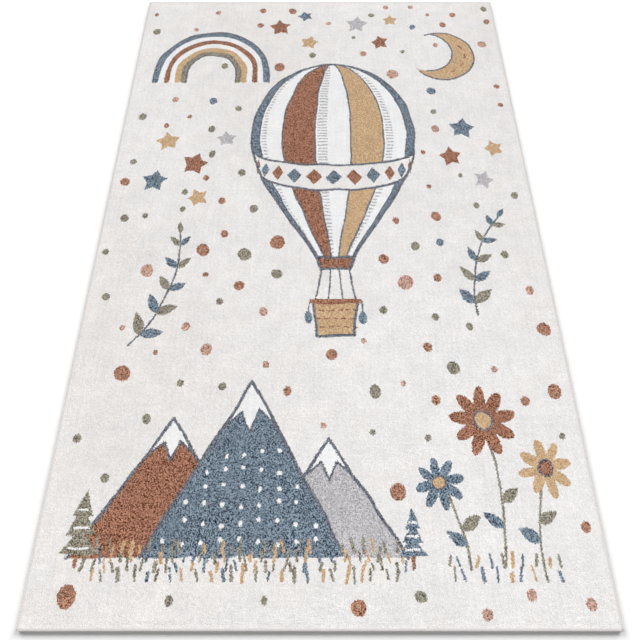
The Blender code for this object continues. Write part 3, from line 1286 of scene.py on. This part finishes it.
def overcast_yarn(side_name, facing, straight, reach, seed, finish):
    """Yarn whipped over the edge that faces an angle from +X. Its inner line is reach metres out."""
    rng = np.random.default_rng(seed)
    way, turn = edge_cuts(straight, rng)
    out, side, up, crest = whipped_surface(way, turn, rng)
    rings = np.stack([*turned(reach + out, side, -facing), up], -1)
    points = np.concatenate([rings.reshape(-1, 3), rings[[0, -1]].mean(1)])
    yarn = new_piece(f"overcast_yarn_{side_name}", points, tube_faces(*up.shape), finish)
    store_number(yarn.data, "crest", "POINT", np.append(crest.ravel(), [0, 0]))
    lay_edging_maps(yarn.data, *up.shape)
    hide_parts(f"overcast_{side_name}")
    return yarn


def lay_edging_maps(mesh, cuts, steps):
    """A map of the yarn's run in turns and its way round the section, and one folded in rows."""
    corner = corner_points(mesh).reshape(-1, 3)
    cut = np.minimum(corner // steps, cuts - 1).astype(float)
    step = (corner % steps).astype(float)
    wraps_round = (step.max(1) == steps - 1) & (step.min(1) == 0)
    step[wraps_round[:, None] & (step == 0)] = steps
    lay_map(mesh, "OFBake", fold_rows(cut, step / steps, cuts))
    lay_map(mesh, "yarn_run", np.stack([cut / WRAP_STEPS, step / steps * SECTION_LENGTH], -1))


def fold_rows(cut, around_it, cuts):
    """Places in a unit square: the long strip cut into rows, each face whole in one of them."""
    per_row = math.ceil((cuts - 1) / EDGING_MAP_ROWS)
    row = np.minimum(cut.min(1) // per_row, EDGING_MAP_ROWS - 1)[:, None]
    across = (cut - row * per_row) / per_row
    end, side = EDGING_MAP_MARGINS
    up = (row + side + (1 - 2 * side) * around_it) / EDGING_MAP_ROWS
    return np.stack([end + (1 - 2 * end) * across, up], -1)


def overcast_edging(finish):
    """The yarn on the four edges, anticlockwise from the right."""
    halves = (HALF_WIDTH - EDGING_WIDTH, HALF_LENGTH - EDGING_WIDTH)
    strips = []
    for k, side_name in enumerate(("right", "back", "left", "front")):
        reach, half_edge = halves if k % 2 == 0 else halves[::-1]
        strips.append(overcast_yarn(side_name, 90 * k, 2 * half_edge, reach, WRAP_SEED + k, finish))
    return strips


# ---------------- studio

# The camera stands before the rug's middle and looks down along +Y
CAMERA_LENS = 24.057  # mm, on the usual 36 mm sensor
CAMERA_PITCH = 68.268  # degrees below the horizon
CAMERA_PLACE = (0.0, -0.5686, 1.0447)
CAMERA_SHIFT = -0.0625  # of the picture's width
CAMERA_SEES = (0.01, 200.0)

SKY_LIGHT = 0.29
FLOOR_RADIUS = 40.0
FLOOR_SIDES = 128
BACKDROP_RADIUS = 39.0

# Distant soft lamps: strength, degrees across, height above the horizon, and bearing from +Y
Lamp = namedtuple("Lamp", "strength softness height bearing")
LAMPS = {
    "key_left": Lamp(3.04, 30.0, 27.5, 35.0),
    "key_right": Lamp(3.04, 30.0, 27.5, -35.0),
    "front_fill": Lamp(0.45, 24.0, 12.0, 180.0),
}


def soft_light(name, lamp):
    """A distant lamp that shines from its bearing down onto the rug."""
    light = bpy.data.lights.new(name, "SUN")
    light.energy = lamp.strength
    light.angle = math.radians(lamp.softness)
    placed = new_object(name, light)
    placed.rotation_euler = (math.radians(lamp.height - 90), 0.0, math.radians(lamp.bearing))


def set_camera():
    lens = bpy.data.cameras.new("camera")
    lens.lens = CAMERA_LENS
    lens.shift_y = CAMERA_SHIFT
    lens.clip_start, lens.clip_end = CAMERA_SEES
    camera = new_object("camera", lens)
    camera.location = CAMERA_PLACE
    camera.rotation_euler = (math.radians(90 - CAMERA_PITCH), 0.0, 0.0)
    bpy.context.scene.camera = camera


def stage_piece(name, bm, finish):
    """A part of the studio, from a bmesh, which is freed."""
    mesh = bpy.data.meshes.new(name)
    bm.to_mesh(mesh)
    bm.free()
    mesh.materials.append(finish.material)
    piece = new_object(name, mesh)
    return piece


def lay_floor():
    floor = {"Base Color": (0.84, 0.84, 0.84, 1), "Roughness": 0.9, "Specular IOR Level": 0.0}
    bm = bmesh.new()
    bmesh.ops.create_circle(bm, cap_ends=True, segments=FLOOR_SIDES, radius=FLOOR_RADIUS)
    stage_piece("studio_floor", bm, Finish("pale studio floor", floor))


def hang_backdrop():
    """A white dome over the floor, seen by the camera alone: it neither lights nor shades the rug."""
    white = {"Base Color": (0, 0, 0, 1), "Emission Color": (1, 1, 1, 1), "Emission Strength": 1.0}
    finish = Finish("white backdrop", white)
    finish.material.cycles.emission_sampling = "NONE"
    bm = bmesh.new()
    sides = {"u_segments": FLOOR_SIDES, "v_segments": FLOOR_SIDES // 2}
    bmesh.ops.create_uvsphere(bm, radius=BACKDROP_RADIUS, **sides)
    dome = stage_piece("studio_backdrop", bm, finish)
    for ray in ("diffuse", "glossy", "transmission", "shadow"):
        setattr(dome, f"visible_{ray}", False)


def light_studio():
    world = bpy.data.worlds.new("studio")
    world.use_nodes = True
    sky = world.node_tree.nodes["Background"]
    sky.inputs["Color"].default_value = (1, 1, 1, 1)
    sky.inputs["Strength"].default_value = SKY_LIGHT
    bpy.context.scene.world = world
    for name, lamp in LAMPS.items():
        soft_light(name, lamp)


def studio():
    view = bpy.context.scene.view_settings
    view.view_transform = "Standard"
    view.look = "None"
    set_camera()
    lay_floor()
    hang_backdrop()
    light_studio()


def main():
    tiles = lay_pile(pile_finish())
    edging = overcast_edging(edging_finish())
    ground = woven_ground(ground_finish())
    studio()


main()
